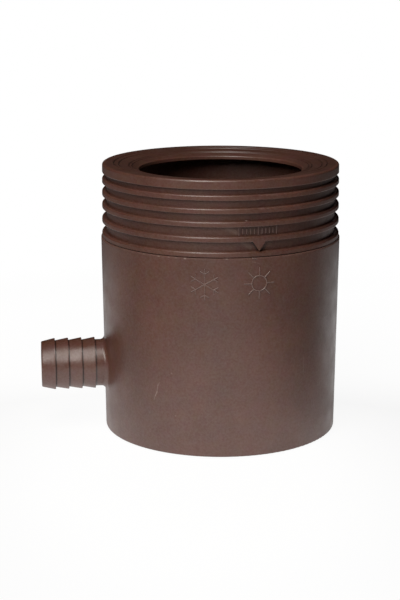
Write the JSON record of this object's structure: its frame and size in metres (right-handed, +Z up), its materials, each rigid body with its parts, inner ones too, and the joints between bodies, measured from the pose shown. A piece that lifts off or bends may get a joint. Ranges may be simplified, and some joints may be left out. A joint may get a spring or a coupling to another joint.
{
  "type": "rainwater diverter",
  "caption": "Round downpipe rainwater diverter: a cylindrical housing with a barbed hose spigot low on one side, under a ribbed collar that turns to open or close the outlet.",
  "frame": {"origin": "centre of the housing's foot ring, on the plane that it stands on, which is the mouth of the lower socket", "axes": "+Z up along the downpipe's axis; the hose spigot points along -X; the arrow and both marks face about -Y"},
  "size_m": [0.1494, 0.1184, 0.1333],
  "materials": {
    "brown_plastic": "matte to satin moulded plastic"
  },
  "bodies": {
    "housing": {"housing": "brown_plastic"},
    "collar": {"collar": "brown_plastic"}
  },
  "joints": [
    {"name": "collar_turn", "type": "hinge", "parent": "housing", "child": "collar", "pos_m": [0, 0, 0.097], "axis": [0, 0, 1], "range_deg": [-25, 0]}
  ]
}
